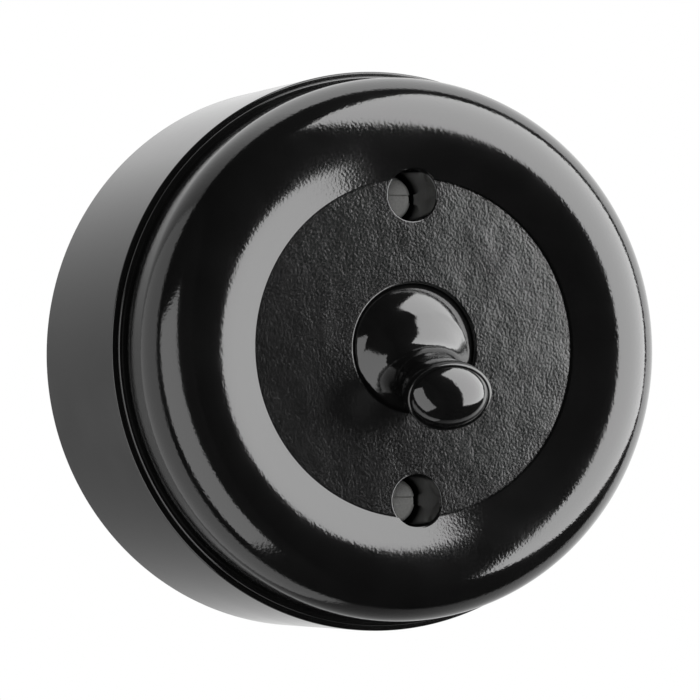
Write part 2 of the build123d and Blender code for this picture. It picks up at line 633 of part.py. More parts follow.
# Saddle: a strip from the common terminal with two ears that carry the rocker's pin
saddle_height = STRIP_WIDTH + 2 * STRIP_THICKNESS
tab_inner = strip_inner + 2 * LOOSE + STRIP_THICKNESS
with BuildPart() as common_contact:
    with BuildSketch(front_plane(well_floor)):
        Rectangle(2 * saddle_outer, saddle_height)
        with Locations(((tab_inner + saddle_outer) / 2, -CONTACT_PLACE / 2)):
            Rectangle(saddle_outer - tab_inner, CONTACT_PLACE)
        tab_end = terminal_x + TERMINAL_SIZE / 2
        with Locations(((tab_inner + tab_end) / 2, -CONTACT_PLACE)):
            Rectangle(tab_end - tab_inner, STRIP_WIDTH)
    extrude(amount=STRIP_THICKNESS)
    for saddle_side in (-1, 1):
        saddle_plane = side_plane(0, 0).offset(-saddle_side * (saddle_inner + STRIP_THICKNESS / 2))
        with BuildSketch(saddle_plane):
            with Locations(((well_floor + rocker_depth) / 2, 0)):
                Rectangle(rocker_depth - well_floor, STRIP_WIDTH)
            with Locations((rocker_depth, 0)):
                Circle(STRIP_WIDTH / 2)
        extrude(amount=STRIP_THICKNESS / 2, both=True)
    pin(ROCKER_PIN_DIAMETER + 2 * FIT, rocker_depth, -saddle_outer, saddle_outer, Mode.SUBTRACT)
save(common_contact, "common_contact")


def terminal(x, z):
    """Brass block on the end of a strip, with a cross bore for the wire and a screw hole."""
    with Locations(front_plane(strip_front, x, z)):
        Box(TERMINAL_SIZE, TERMINAL_SIZE, TERMINAL_HEIGHT, align=FROM_BASE)
    with Locations(Plane(origin=(x, -wire_depth, z), x_dir=(0, 1, 0), z_dir=(1, 0, 0))):
        Cylinder(WIRE_BORE / 2, TERMINAL_SIZE, mode=Mode.SUBTRACT)
    rods(TERMINAL_SCREW_DIAMETER + 2 * FIT, wire_depth, terminal_front, [(x, z)], Mode.SUBTRACT)


terminal_names = ["upper_terminal", "lower_terminal", "common_terminal"]
for terminal_name, terminal_spot in zip(terminal_names, terminal_spots):
    with BuildPart() as terminal_block:
        terminal(*terminal_spot)
        chamfer(terminal_block.edges().group_by(Axis.Y)[0].filter_by(GeomType.LINE), LOOSE)
    save(terminal_block, terminal_name)

# Clamp screws of the terminals
with BuildPart() as terminal_screws:
    clamp_end = wire_depth + WIRE_BORE / 2
    clamp_seat = terminal_front + LOOSE
    rods(TERMINAL_SCREW_DIAMETER, clamp_end, clamp_seat, terminal_spots)
    clamp_head = clamp_seat + TERMINAL_SCREW_HEAD_HEIGHT
    rods(TERMINAL_SCREW_HEAD, clamp_seat, clamp_head, terminal_spots)
    drive_slots(clamp_head, TERMINAL_SCREW_HEAD, terminal_spots)
save(terminal_screws, "terminal_screws")
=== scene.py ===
import json
from math import asin, cos, pi, radians, sin, sqrt, tan

import bmesh
import bpy
from mathutils import Matrix, Vector


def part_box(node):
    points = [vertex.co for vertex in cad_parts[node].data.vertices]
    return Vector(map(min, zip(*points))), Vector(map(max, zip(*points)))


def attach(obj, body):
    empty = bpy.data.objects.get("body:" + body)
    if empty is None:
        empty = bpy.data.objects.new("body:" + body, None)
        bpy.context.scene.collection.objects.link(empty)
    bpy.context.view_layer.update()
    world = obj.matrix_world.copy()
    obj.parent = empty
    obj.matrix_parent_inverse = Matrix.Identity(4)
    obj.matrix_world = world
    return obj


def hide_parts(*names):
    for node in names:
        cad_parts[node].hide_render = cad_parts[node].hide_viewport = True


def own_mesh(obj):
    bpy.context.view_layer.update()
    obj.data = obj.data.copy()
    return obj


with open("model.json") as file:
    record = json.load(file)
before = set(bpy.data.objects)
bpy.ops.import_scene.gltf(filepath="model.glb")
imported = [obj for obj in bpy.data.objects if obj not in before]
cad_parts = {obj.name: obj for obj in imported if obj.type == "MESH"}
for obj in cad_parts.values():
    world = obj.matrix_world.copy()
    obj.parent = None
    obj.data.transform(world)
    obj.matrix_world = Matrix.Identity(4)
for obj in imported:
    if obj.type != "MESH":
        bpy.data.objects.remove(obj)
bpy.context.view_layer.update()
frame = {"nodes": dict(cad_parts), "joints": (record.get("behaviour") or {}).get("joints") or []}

bl_info = {
    "name": "Surface-mounted toggle switch",
    "version": (1, 0, 0),
    "blender": (4, 5, 0),
    "location": "View3D > Sidebar > Toggle switch",
    "description": "Dresses the solids of a round moulded toggle light switch",
    "category": "Object",
}

MM = 0.001
OUT = Vector((0, -1, 0))
RIGHT = Vector((1, 0, 0))
DRUM_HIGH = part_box("housing")[1]
LEVER_JOINT = next(joint for joint in frame["joints"] if joint["name"] == "lever_tilt")
LEVER_PIVOT = Vector(LEVER_JOINT["pos_m"])
# Steps around the turned rings, the lever, the holes and the wall slots
RING_STEPS = 256
LEVER_STEPS = 160
HOLE_STEPS = 96
SLOT_STEPS = 64
# How far a cutter reaches past what it cuts
CUT = 1.0 * MM
# A point lies on one side of a middle if it is further from it than this
HAIR = 0.01 * MM
# Points this close are one point: in a drawn section, in a turned solid and where two solids were joined
SECTION_MERGE = 0.001 * MM
TURN_MERGE = 0.002 * MM
JOIN_MERGE = 0.02 * MM
# Refraction of the phenolic resin and of the porcelain's glaze
RESIN_IOR = 1.6
GLAZE_IOR = 1.52


def length(name, description, millimetres):
    """A length property with its default in millimetres."""
    return bpy.props.FloatProperty(
        name=name, description=description, default=millimetres * MM, unit="LENGTH", precision=5
    )


def number(name, description, default, **kind):
    """A plain number property, or an angle where its subtype says so."""
    return bpy.props.FloatProperty(name=name, description=description, default=default, **kind)


def colour(name, description, hex_value):
    """A colour property, written as an sRGB hex value."""
    return bpy.props.FloatVectorProperty(
        name=name,
        description=description,
        default=linear(hex_value)[:3],
        subtype="COLOR",
        size=3,
        min=0,
        max=1,
    )


def linear(hex_value):
    """Linear colour of an sRGB hex value."""
    parts = [int(hex_value[i : i + 2], 16) / 255 for i in (1, 3, 5)]
    return [c / 12.92 if c <= 0.04045 else ((c + 0.055) / 1.055) ** 2.4 for c in parts] + [1.0]


class SwitchDrum(bpy.types.PropertyGroup):
    """Sizes of the drum that stands on the wall."""

    radius: length("Radius", "Radius of the drum at its front edge", 41.0)
    foot: length("Foot radius", "Radius of the drum on the wall", min(DRUM_HIGH.x, DRUM_HIGH.z) / MM)
    depth: length("Depth", "Depth of the drum's shoulder from the wall", 32.2)
    lip: length("Lip", "Height of the lip that the cover sits on", 1.0)
    shoulder: length("Shoulder", "Width of the shoulder outside the lip", 0.75)
    wall: length("Wall", "Thickness of the drum's wall", 3.2)
    back: length("Back", "Thickness of the back", 3.0)
    land: length("Land", "Width of the rim that bears on the wall", 6.0)
    recess: length("Recess", "Depth of the back inside that rim", 0.8)
    cable_hole: length("Cable hole", "Radius of the cable hole", 9.0)
    edge: length("Edge", "Rounding of the drum's edges", 0.3)
    slot: length("Wall slot", "Half width of the two wall slots", 2.25)
    slot_run: length("Slot run", "Half length of the slots' straight sides", 1.75)
    slot_place: length("Slot place", "Distance of the slots from the middle", 30.0)
    boss: length("Boss", "Radius of the two screw bosses", 4.5)
    boss_sink: length("Boss sink", "Depth to which the bosses are sunk in the back", 0.5)
    boss_front: length("Boss front", "Depth of the bosses' front from the wall", 32.0)
    boss_place: length("Boss place", "Distance of the bosses from the middle", 30.0)
    bore: length("Bore", "Radius of the bosses' bores", 2.62)
    bore_end: length("Bore end", "Depth of the bores' bottom from the wall", 23.7)


class SwitchCover(bpy.types.PropertyGroup):
    """Sizes of the ringed cover."""

    radius: length("Radius", "Outer radius of the cover", 39.4)
    rear: length("Rear", "Depth of the cover's rear edge from the wall", 34.2)
    face: length("Face", "Depth of the flat face from the wall", 46.7)
    ring: length("Ring", "Height of the ring over the face", 1.9)
    rim: length("Rim", "Radius of the ring's outer round", 8.2)
    crease: length("Crease", "Radius at which the ring meets the flat face", 24.4)
    flank: number("Flank", "Slope at which the ring falls to the face", radians(14.5), subtype="ANGLE")
    step: length("Step", "Width of the fine step at the crease", 0.1)
    opening: length("Opening", "Radius of the lever's opening", 9.3)
    opening_edge: length("Opening edge", "Rounding of the opening's edge", 0.38)
    hollow: length("Hollow", "Radius of the hollow behind the opening, about the lever's pivot", 11.95)
    wall: length("Wall", "Thickness of the cover", 2.6)
    hole: length("Screw hole", "Radius of the holes over the cover screws", 3.7)
    hole_edge: length("Screw hole edge", "Rounding of the holes' edge in the face", 0.25)
    hole_place: length("Screw place", "Distance of those holes from the middle", 21.95)
    hole_floor: length("Screw hole floor", "Depth of the holes' floor from the wall", 35.6)
    shank: length("Shank hole", "Radius of the holes for the screws' shanks", 1.85)
    boss: length("Boss", "Radius of the two screw bosses", 5.7)
    boss_sink: length("Boss sink", "Depth to which the bosses are sunk in the face", 0.4)
    boss_rear: length("Boss rear", "Depth of the bosses' rear from the wall", 33.8)
    edge: length("Edge", "Rounding of the cover's edges", 0.3)
    groove: length("Groove", "Depth of the groove between the cover and the drum", 0.5)
    skirt_gap: length("Skirt gap", "Gap between the skirt and the drum's wall", 0.3)
    skirt_wall: length("Skirt wall", "Thickness of the skirt", 1.2)
    skirt_reach: length("Skirt reach", "Length of the skirt inside the drum", 2.0)


class SwitchLever(bpy.types.PropertyGroup):
    """Sizes of the ball lever, measured along it from the centre of its ball."""

    ball: length("Ball", "Radius of the ball", 11.7)
    rear: length("Rear", "Distance of the ball's flat back behind its centre", 0.8)
    foot: length("Foot", "Half height of the handle where it starts inside the ball", 6.25)
    foot_place: length("Foot place", "Distance of that start", 8.0)
    neck: length("Neck", "Half height of the neck", 3.75)
    neck_place: length("Neck place", "Distance of the neck's thinnest place", 12.9)
    swell: length("Swell", "Half height where the neck ends and the head starts", 4.2)
    swell_place: length("Swell place", "Distance of that place", 17.4)
    head: length("Head", "Half height of the head", 5.0)
    reach: length("Reach", "Distance of the head's rim", 22.3)
    bead: length("Bead", "Radius of the head's rounded rim", 0.36)
    step: length("Step", "Step from the rim down to the dome", 0.14)
    dome: length("Dome", "Height of the head's dome over its rim", 3.19)
    tail: length("Tail", "Radius of the tail", 3.1)
    tail_end: length("Tail end", "Distance of the tail's end behind the centre", 9.8)
    bore: length("Bore", "Radius of the spring's bore in the tail", 1.95)
    bore_end: length("Bore end", "Distance of the bore's bottom behind the centre", 2.2)
    edge: length("Edge", "Rounding of the tail's end and of the ball's rear edge", 0.3)
    soft: length("Soft foot", "Width of the softened corner where the neck meets the ball", 2.2)
    oval: number("Oval", "Width of the handle over its height", 1.276)
    tilt: number("Tilt", "Angle of the lever below the middle", radians(19), subtype="ANGLE")


class SwitchSpring(bpy.types.PropertyGroup):
    """Sizes of the plunger's spring, measured along the lever behind the centre of its ball."""

    wire: length("Wire", "Thickness of the wire", 0.45)
    coil: length("Coil", "Radius of the coil's middle line", 1.625)
    start: length("Start", "Distance of the coil's fixed end", 2.475)
    rise: length("Rise", "Length of the coil's middle line along the lever", 3.55)
    turns: bpy.props.IntProperty(name="Turns", description="Turns of the coil", default=5)
    shut: number("Shut", "Share of its length that is left with the plunger pushed in", 0.7)


class SwitchFinish(bpy.types.PropertyGroup):
    """Colours of the finishes."""

    moulding: colour("Moulding", "Black of the moulded pieces", "#050505")
    moulding_worn: colour("Moulding, dull", "Black where the gloss is duller", "#0b0b0b")
    porcelain: colour("Porcelain", "Glaze of the base", "#e9e4d8")


class SwitchStage(bpy.types.PropertyGroup):
    """Light and floor of the stage."""

    softbox: number("Softbox", "Brightness of the large softbox", 5.8)
    fill: number("Fill", "Brightness of the left strip", 2.2)
    front: number("Front", "Brightness of the front fill", 18.0)
    room: number("Room", "Brightness of the pale wall behind", 0.65)
    floor: length("Floor", "Depth of the floor under the middle", 650.0)
    floor_span: length("Floor span", "Length of the floor's sides", 2400.0)
    floor_glow: number("Floor glow", "Light of its own that the camera sees on the floor", 0.62)


def add_node(tree, kind, settings=None, **inputs):
    """A node with its settings. Each input has its name, or i and its number, and takes a value or the
    socket that feeds it."""
    node = tree.nodes.new(kind)
    for name, value in (settings or {}).items():
        setattr(node, name, value)
    for name, value in inputs.items():
        numbered = name[0] == "i" and name[1:].isdigit()
        socket = node.inputs[int(name[1:]) if numbered else name.replace("_", " ")]
        if isinstance(value, bpy.types.NodeSocket):
            tree.links.new(value, socket)
        else:
            socket.default_value = value
    return node


def noise(tree, place, width, detail):
    """Noise with cells that many millimetres wide."""
    scale = 1 / (width * MM)
    return add_node(tree, "ShaderNodeTexNoise", Vector=place, Scale=scale, Detail=detail).outputs["Fac"]


def remap(tree, value, span=(0.0, 1.0), onto=(0.0, 1.0), ease="LINEAR"):
    """A value that goes over one range, put onto another and held at its ends."""
    node = add_node(
        tree,
        "ShaderNodeMapRange",
        {"interpolation_type": ease},
        Value=value,
        From_Min=span[0],
        From_Max=span[1],
        To_Min=onto[0],
        To_Max=onto[1],
    )
    return node.outputs[0]


def mix_colours(tree, factor, first, second):
    """A colour between two others."""
    settings = {"data_type": "RGBA"}
    return add_node(tree, "ShaderNodeMix", settings, Factor=factor, i6=first, i7=second).outputs[2]


def mix_values(tree, factor, first, second):
    """A value between two others."""
    return add_node(tree, "ShaderNodeMix", Factor=factor, i2=first, i3=second).outputs[0]


def maths(tree, operation, *values):
    """The result of a math node."""
    inputs = {f"i{i}": value for i, value in enumerate(values)}
    return add_node(tree, "ShaderNodeMath", {"operation": operation}, **inputs).outputs[0]


def dot(tree, way, axis):
    """How far a direction goes along an axis."""
    settings = {"operation": "DOT_PRODUCT"}
    return add_node(tree, "ShaderNodeVectorMath", settings, i0=way, i1=axis).outputs["Value"]


def bumps(tree, height, strength, depth, **under):
    """Bumps up to a depth in millimetres, on top of others where those are given as Normal."""
    inputs = {"Strength": strength, "Distance": depth * MM, "Height": height, **under}
    return add_node(tree, "ShaderNodeBump", **inputs).outputs[0]


def new_material(name):
    """An empty material, its node tree and the Object coordinates that its patterns read."""
    material = bpy.data.materials.new(name)
    material.use_nodes = True
    tree = material.node_tree
    tree.nodes.clear()
    place = add_node(tree, "ShaderNodeTexCoord").outputs["Object"]
    return material, tree, place


def close_material(material, **inputs):
    """Gives a material its shader and its output."""
    shader = add_node(material.node_tree, "ShaderNodeBsdfPrincipled", **inputs)
    add_node(material.node_tree, "ShaderNodeOutputMaterial", Surface=shader.outputs[0])
    return material


def start_mesh(name):
    """One vertex at the origin, in edit mode, from a plane merged to its middle."""
    if bpy.context.mode != "OBJECT":
        raise RuntimeError("a piece was left in edit mode")
    bpy.ops.object.select_all(action="DESELECT")
    bpy.ops.mesh.primitive_plane_add(size=MM)
    piece = bpy.context.object
    piece.name = name
    piece.data.name = name
    bpy.ops.object.mode_set(mode="EDIT")
    bpy.ops.mesh.select_mode(type="VERT")
    bpy.ops.mesh.select_all(action="SELECT")
    bpy.ops.mesh.merge(type="CENTER")
    return piece


def pick(piece, wanted):
    """Selects, in edit mode, the vertices that pass a test."""
    mesh = bmesh.from_edit_mesh(piece.data)
    for face in mesh.faces:
        face.select = False
    for edge in mesh.edges:
        edge.select = False
    for vertex in mesh.verts:
        vertex.select = wanted(vertex)
    bmesh.update_edit_mesh(piece.data)


def turn_solid(piece, section, centre, along, across, steps, rounds=()):
    """Draws half a section from (radius, place) points by extruding, rounds its corners, and spins it."""
    points = [centre + across * radius + along * place for radius, place in section]
    bpy.ops.transform.translate(value=points[0])
    for last, point in zip(points, points[1:]):
        bpy.ops.mesh.extrude_region_move(TRANSFORM_OT_translate={"value": point - last})
    bpy.ops.mesh.select_all(action="SELECT")
    bpy.ops.mesh.remove_doubles(threshold=SECTION_MERGE)
    for radius, corners in rounds:
        spots = [centre + across * r + along * s for r, s in corners]
        pick(piece, lambda v: any((v.co - spot).length < TURN_MERGE for spot in spots))
        bpy.ops.mesh.bevel(offset=radius, segments=6, affect="VERTICES")
    bpy.ops.mesh.select_all(action="SELECT")
    bpy.ops.mesh.spin(steps=steps, angle=2 * pi, center=centre, axis=along)
    bpy.ops.mesh.select_all(action="SELECT")
    bpy.ops.mesh.remove_doubles(threshold=TURN_MERGE)
    bpy.ops.mesh.normals_make_consistent(inside=False)


def arc(centre, radius, start, end, count):
    """Points of an arc in the section, from one angle to another, both ends in."""
    steps = [start + (end - start) * i / count for i in range(count + 1)]
    return [(centre[0] + radius * cos(a), centre[1] + radius * sin(a)) for a in steps]


def rod(name, radius, front, back, spots, sides=HOLE_STEPS):
    """A cutter or boss: cylinders along the depth at each (x, z) spot, joined in one mesh."""
    bpy.ops.object.select_all(action="DESELECT")
    made = []
    for x, z in spots:
        bpy.ops.mesh.primitive_cylinder_add(
            vertices=sides,
            radius=radius,
            depth=front - back,
            location=(x, -(front + back) / 2, z),
            rotation=(pi / 2, 0, 0),
        )
        made.append(bpy.context.object)
    for piece in made:
        piece.select_set(True)
    bpy.context.view_layer.objects.active = made[0]
    bpy.ops.object.join()
    bpy.ops.object.transform_apply(location=True, rotation=True, scale=True)
    made[0].name = name
    return made[0]


def combine(piece, other, operation):
    """Adds another mesh to a piece, or cuts it out of it, and removes the other."""
    modifier = piece.modifiers.new(operation, "BOOLEAN")
    modifier.operation = operation
    modifier.object = other
    modifier.solver = "EXACT"
    bpy.ops.object.select_all(action="DESELECT")
    bpy.context.view_layer.objects.active = piece
    piece.select_set(True)
    bpy.ops.object.modifier_apply(modifier=modifier.name)
    bpy.data.objects.remove(other)
    if not piece.data.polygons:
        raise RuntimeError(f"nothing is left of {piece.name}")


def smooth(piece, angle):
    """Smooth shading up to an angle, with flat faces keeping their own normals."""
    bpy.ops.object.select_all(action="DESELECT")
    piece.select_set(True)
    bpy.context.view_layer.objects.active = piece
    bpy.ops.object.shade_smooth_by_angle(angle=angle)
    weighted = piece.modifiers.new("Weighted normals", "WEIGHTED_NORMAL")
    weighted.keep_sharp = True
    bpy.ops.object.modifier_apply(modifier=weighted.name)


def dress(piece, material, slot, body, *nodes):
    """Gives a finished piece its material, its place on a body and the nodes it stands for."""
    bpy.ops.object.select_all(action="DESELECT")
    piece.data.materials.clear()
    piece.data.materials.append(material)
    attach(piece, body)
    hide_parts(*nodes)


class SWITCH_OT_drum(bpy.types.Operator):
    """Turn the drum from its section and cut its wall slots"""

    bl_idname = "switch.drum"
    bl_label = "Drum"

    def execute(self, context):
        size = context.scene.switch_drum
        lip_radius = size.radius - size.shoulder
        inner = size.radius - size.wall
        front = size.depth + size.lip
        land = size.radius - size.land
        section = [
            (size.cable_hole, size.recess),
            (land, size.recess),
            (land, 0),
            (size.foot, 0),
            (size.radius, size.depth),
            (lip_radius, size.depth),
            (lip_radius, front),
            (inner, front),
            (inner, size.back),
            (size.cable_hole, size.back),
            (size.cable_hole, size.recess),
        ]
        rounds = [
            (size.edge, [(size.foot, 0), (size.radius, size.depth), (lip_radius, front)]),
            (size.edge / 2, [(land, 0), (size.cable_hole, size.recess)]),
        ]
        drum = start_mesh("switch_drum")
        turn_solid(drum, section, Vector(), OUT, RIGHT, RING_STEPS, rounds)
        bpy.ops.object.mode_set(mode="OBJECT")
        combine(drum, self.wall_slots(size), "DIFFERENCE")
        spots = [(size.boss_place, 0), (-size.boss_place, 0)]
        bosses = rod("bosses", size.boss, size.boss_front, size.back - size.boss_sink, spots)
        combine(drum, bosses, "UNION")
        bores = rod("bores", size.bore, size.boss_front + CUT, size.bore_end, spots)
        combine(drum, bores, "DIFFERENCE")
        smooth(drum, angle=radians(20))
        dress(drum, moulded_drum(context), "phenolic_drum", "switch", "housing")
        return {"FINISHED"}

    def wall_slots(self, size):
        """Cutter for the two wall slots: rods through the back, drawn out along the slots."""
        spots = [(0, size.slot_place), (0, -size.slot_place)]
        slots = rod("wall_slots", size.slot, size.back + CUT, -CUT, spots, SLOT_STEPS)
        bpy.ops.object.mode_set(mode="EDIT")
        for _, middle in spots:
            for end in (1, -1):
                pick(slots, lambda v: v.co.z * middle > 0 and (v.co.z - middle) * end > HAIR)
                bpy.ops.transform.translate(value=(0, 0, end * size.slot_run))
        bpy.ops.object.mode_set(mode="OBJECT")
        return slots


class SWITCH_OT_cover(bpy.types.Operator):
    """Turn the ringed cover, add its screw bosses and cut the screw holes"""

    bl_idname = "switch.cover"
    bl_label = "Cover"

    def execute(self, context):
        size = context.scene.switch_cover
        drum = context.scene.switch_drum
        top = size.face + size.ring
        crest = size.radius - size.rim
        run = crest - size.crease
        fall = (run**2 + size.ring**2) / (2 * size.ring)
        sweep = asin(run / fall)
        under = size.face - size.wall
        seat = drum.depth + drum.lip
        skirt = drum.radius - drum.wall - size.skirt_gap
        skirt_inside = skirt - size.skirt_wall
        skirt_end = seat - size.skirt_reach
        outer = arc((crest, top - size.rim), size.rim, 0, pi / 2, count=32)
        # The ring's inner side rounds over its crest and falls straight, with a fine step at the crease
        inner = arc((crest, top - fall), fall, pi / 2, pi / 2 + size.flank, count=8)
        step = size.crease + size.step
        inner.append((step, inner[-1][1] - (inner[-1][0] - step) * tan(size.flank)))
        inner.append((size.crease, size.face))
        hollow = arc((crest, top - fall), fall - size.wall, pi / 2 + sweep, pi / 2, count=6)
        bend = arc((crest, top - size.rim), size.rim - size.wall, pi / 2, 0, count=8)
        pivot = -LEVER_PIVOT.y
        socket_start = pi / 2 - asin(size.opening / size.hollow)
        socket_end = asin((under - pivot) / size.hollow)
        section = [
            (size.radius, size.rear),
            *outer,
            *inner[1:],
            (size.opening, size.face),
            *arc((0, pivot), size.hollow, socket_start, socket_end, count=4),
            (size.crease, under),
            *hollow,
            *bend[1:],
            (size.radius - size.wall, seat),
            (skirt_inside, seat),
            (skirt_inside, skirt_end),
            (skirt, skirt_end),
            (skirt, seat),
            (size.radius - size.groove, seat),
            (size.radius - size.groove, size.rear),
            (size.radius, size.rear),
        ]
        rounds = [
            (size.edge, [(size.radius, size.rear)]),
            (size.opening_edge, [(size.opening, size.face)]),
        ]
        cover = start_mesh("switch_cover")
        turn_solid(cover, section, Vector(), OUT, RIGHT, RING_STEPS, rounds)
        bpy.ops.object.mode_set(mode="OBJECT")
        spots = [(0, size.hole_place), (0, -size.hole_place)]
        bosses = rod("bosses", size.boss, under + size.boss_sink, size.boss_rear, spots)
        combine(cover, bosses, "UNION")
        for x, z in spots:
            combine(cover, self.recess(size, Vector((x, 0, z)), top), "DIFFERENCE")
        smooth(cover, angle=radians(20))
        dress(cover, moulded_cover(context), "phenolic_cover", "switch", "cover")
        return {"FINISHED"}

    def recess(self, size, centre, top):
        """Cutter for a screw's hole and recess, flared so that the edge in the face comes out rounded."""
        back = size.boss_rear - CUT
        floor = size.hole_floor
        edge = size.hole_edge
        # The flare stops just short of flat, so that the cutter crosses the face steeply
        flare_end = radians(98)
        flare = arc((size.hole + edge, size.face - edge), edge, pi, flare_end, count=6)
        section = [
            (0, back),
            (size.shank, back),
            (size.shank, floor),
            (size.hole, floor),
            *flare,
            (flare[-1][0], top + CUT),
            (0, top + CUT),
        ]
        cutter = start_mesh("recess")
        turn_solid(cutter, section, centre, OUT, RIGHT, HOLE_STEPS)
        bpy.ops.object.mode_set(mode="OBJECT")
        return cutter


class SWITCH_OT_lever(bpy.types.Operator):
    """Turn the ball lever, make its handle oval and cut its bearing slots"""

    bl_idname = "switch.lever"
    bl_label = "Lever"

    def execute(self, context):
        size = context.scene.switch_lever
        along = Vector((0, -cos(size.tilt), -sin(size.tilt)))
        # Ball with a flat back and a bored tail
        flat = sqrt(size.ball**2 - size.rear**2)
        ball = [
            (0, -size.bore_end),
            (size.bore, -size.bore_end),
            (size.bore, -size.tail_end),
            (size.tail, -size.tail_end),
            (size.tail, -size.rear),
            *arc((0, 0), size.ball, -asin(size.rear / size.ball), pi / 2, count=72),
        ]
        lever = start_mesh("switch_lever")
        rounds = [(size.edge, [(size.tail, -size.tail_end), (flat, -size.rear)])]
        turn_solid(lever, ball, LEVER_PIVOT, along, RIGHT, LEVER_STEPS, rounds)
        bpy.ops.object.mode_set(mode="OBJECT")
        # Handle: a hollow neck that swells into the head, with a rounded rim and a dome
        foot = Vector((size.foot, size.foot_place))
        waist = Vector((size.neck, size.neck_place))
        swell = Vector((size.swell, size.swell_place))
        rim = Vector((size.head, size.reach))
        bead_top = Vector((size.head - size.bead, size.reach + size.bead))
        crown = Vector((0, size.reach + size.dome))
        neck = curve_through(foot, waist, swell, count=28)
        head = leave_along(neck[-1], Vector(neck[-1]) - Vector(neck[-2]), rim, count=14)
        bead = arc((size.head - size.bead, size.reach), size.bead, 0, pi / 2, count=8)
        dome = dome_arc(bead_top - Vector((size.step / 2, size.step)), crown, count=24)
        handle = start_mesh("handle")
        outline = [(0, size.foot_place)] + neck + head[1:] + bead[1:] + dome
        turn_solid(handle, outline, LEVER_PIVOT, along, RIGHT, LEVER_STEPS)
        bpy.ops.transform.resize(value=(size.oval, 1, 1), center_override=LEVER_PIVOT)
        bpy.ops.object.mode_set(mode="OBJECT")
        combine(lever, handle, "UNION")
        self.round_foot(lever, size, along, circle_of(foot, waist, swell), foot)
        for cutter in bearing_slots(along):
            combine(lever, cutter, "DIFFERENCE")
        smooth(lever, angle=radians(24))
        dress(lever, moulded_lever(context), "phenolic_lever", "lever", "toggle_lever")
        return {"FINISHED"}

    def round_foot(self, lever, size, along, hollow, foot):
        """Softens the corner where the hollow neck meets the ball."""
        bend = (foot - hollow).length

        def near_corner(vertex):
            spot = vertex.co - LEVER_PIVOT
            place = spot.dot(along)
            if place < size.foot_place:
                return False
            side = spot - along * place
            neck = hollow.x - sqrt(max(bend**2 - (place - hollow.y) ** 2, 0))
            off_neck = Vector((side.x / size.oval, side.y, side.z)).length - neck
            off_ball = spot.length - size.ball
            return max(off_neck, off_ball) < size.soft

        bpy.ops.object.mode_set(mode="EDIT")
        bpy.ops.mesh.select_all(action="SELECT")
        bpy.ops.mesh.remove_doubles(threshold=JOIN_MERGE)
        pick(lever, near_corner)
        bpy.ops.mesh.vertices_smooth(factor=0.5, repeat=90)
        bpy.ops.object.mode_set(mode="OBJECT")


class SWITCH_OT_spring(bpy.types.Operator):
    """Wind the plunger's spring"""

    bl_idname = "switch.spring"
    bl_label = "Spring"

    def execute(self, context):
        size = context.scene.switch_spring
        lever = context.scene.switch_lever
        along = Vector((0, -cos(lever.tilt), -sin(lever.tilt)))
        bpy.ops.object.select_all(action="DESELECT")
        bpy.ops.mesh.primitive_circle_add(
            vertices=16,
            radius=size.wire / 2,
            location=(size.coil, 0, size.start),
            rotation=(pi / 2, 0, 0),
        )
        bpy.ops.object.transform_apply(location=True, rotation=True, scale=True)
        spring = bpy.context.object
        spring.name = "switch_spring"
        spring.data.name = "switch_spring"
        wind = spring.modifiers.new("Wind", "SCREW")
        wind.axis = "Z"
        wind.angle = 2 * pi
        wind.screw_offset = size.rise / size.turns
        wind.iterations = size.turns
        wind.steps = wind.render_steps = 48
        bpy.ops.object.modifier_apply(modifier=wind.name)
        bpy.ops.object.mode_set(mode="EDIT")
        bpy.ops.mesh.select_all(action="SELECT")
        bpy.ops.mesh.fill_holes(sides=0)
        bpy.ops.mesh.select_all(action="SELECT")
        bpy.ops.mesh.normals_make_consistent(inside=False)
        bpy.ops.object.mode_set(mode="OBJECT")
        turn = Matrix((RIGHT, RIGHT.cross(along), -along)).transposed().to_4x4()
        spring.matrix_world = Matrix.Translation(LEVER_PIVOT) @ turn
        bpy.ops.object.transform_apply(location=True, rotation=True, scale=True)
        smooth(spring, angle=radians(40))
        # Drawn steel wire is grey, with a fine grain
        wire = metal("drawn_spring_wire", "#9a9da0", "#6d7074", grain_mm=0.3, rough=0.3)
        dress(spring, wire, "spring_steel", "lever", "plunger_spring")
        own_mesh(spring)
        return {"FINISHED"}


def circle_of(a, b, c):
    """Centre of the circle through three points of a section."""
    d = 2 * (a.x * (b.y - c.y) + b.x * (c.y - a.y) + c.x * (a.y - b.y))
    aa, bb, cc = a.length_squared, b.length_squared, c.length_squared
    x = (aa * (b.y - c.y) + bb * (c.y - a.y) + cc * (a.y - b.y)) / d
    y = (aa * (c.x - b.x) + bb * (a.x - c.x) + cc * (b.x - a.x)) / d
    return Vector((x, y))


def curve_through(start, middle, end, count):
    """Points of the arc through three points of a section."""
    centre = circle_of(start, middle, end)
    first = start - centre
    swing = first.angle_signed(end - centre)
    return [tuple(centre + turned(first, -swing * i / count)) for i in range(count + 1)]


def turned(vector, angle):
    """A section vector turned by an angle."""
    c, s = cos(angle), sin(angle)
    return Vector((vector.x * c - vector.y * s, vector.x * s + vector.y * c))


def leave_along(start, heading, end, count):
    """Points of the arc that leaves a point along a heading and ends at another."""
    start = Vector(start)
    chord = end - start
    normal = Vector((-heading.y, heading.x)).normalized()
    radius = chord.length_squared / (2 * chord.dot(normal))
    centre = start + normal * radius
    swing = (start - centre).angle_signed(end - centre)
    return [tuple(centre + turned(start - centre, -swing * i / count)) for i in range(count + 1)]


def dome_arc(edge, crown, count):
    """Points of a shallow dome, from its edge to its crown on the axis."""
    rise = crown.y - edge.y
    radius = (edge.x**2 + rise**2) / (2 * rise)
    start = asin(edge.x / radius)
    return [
        (radius * sin(start * (1 - i / count)), crown.y - radius + radius * cos(start * (1 - i / count)))
        for i in range(count + 1)
    ]


